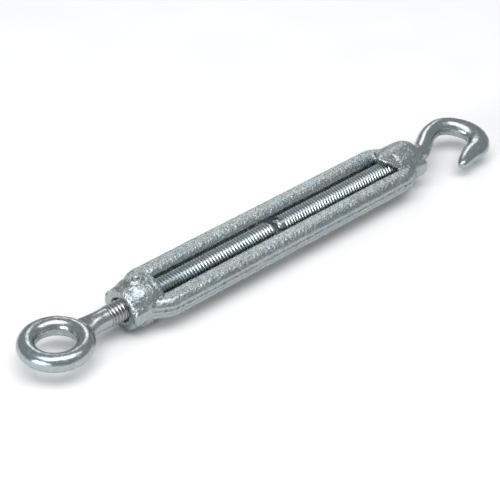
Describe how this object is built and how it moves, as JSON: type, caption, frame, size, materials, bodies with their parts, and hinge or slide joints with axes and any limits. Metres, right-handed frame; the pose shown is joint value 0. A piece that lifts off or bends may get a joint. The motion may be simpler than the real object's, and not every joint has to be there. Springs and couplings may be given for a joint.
{
  "type": "rigging turnbuckle",
  "caption": "Open-body rigging turnbuckle with a closed eye on one screw and an open hook on the other, for tightening a wire or rope.",
  "frame": {"origin": "centre of the hole in the eye, on the screws' axis", "axes": "+X along the screws' axis from the eye to the hook, +Z along the axis of the eye's hole, up as the part lies on a bench"},
  "size_m": [0.1674, 0.022, 0.0133],
  "materials": {
    "plated_casting": "bright zinc plate over a rough malleable casting",
    "plated_forging": "bright zinc plate over forged and rolled steel"
  },
  "bodies": {
    "body": {"turnbuckle_body": "plated_casting"},
    "eye_carrier": {"eye_bolt_core": "plated_forging"},
    "eye": {"eye_bolt": "plated_forging"},
    "hook_carrier": {"hook_bolt_core": "plated_forging"},
    "hook": {"hook_bolt": "plated_forging"}
  },
  "joints": [
    {"name": "eye_travel", "type": "slide", "parent": "body", "child": "eye_carrier", "axis": [-1, 0, 0], "range_m": [0, 0.03801]},
    {"name": "eye_turn", "type": "hinge", "parent": "eye_carrier", "child": "eye", "pos_m": [0.05, 0, 0], "axis": [-1, 0, 0], "range_deg": [0, 13680]},
    {"name": "hook_travel", "type": "slide", "parent": "body", "child": "hook_carrier", "axis": [1, 0, 0], "range_m": [0, 0.03801]},
    {"name": "hook_turn", "type": "hinge", "parent": "hook_carrier", "child": "hook", "pos_m": [0.1, 0, 0], "axis": [-1, 0, 0], "range_deg": [0, 13680]}
  ],
  "couplings": [
    {"joint": "eye_travel", "follows": "eye_turn", "m_per_rad": 0.00015915},
    {"joint": "hook_travel", "follows": "hook_turn", "m_per_rad": 0.00015915}
  ]
}
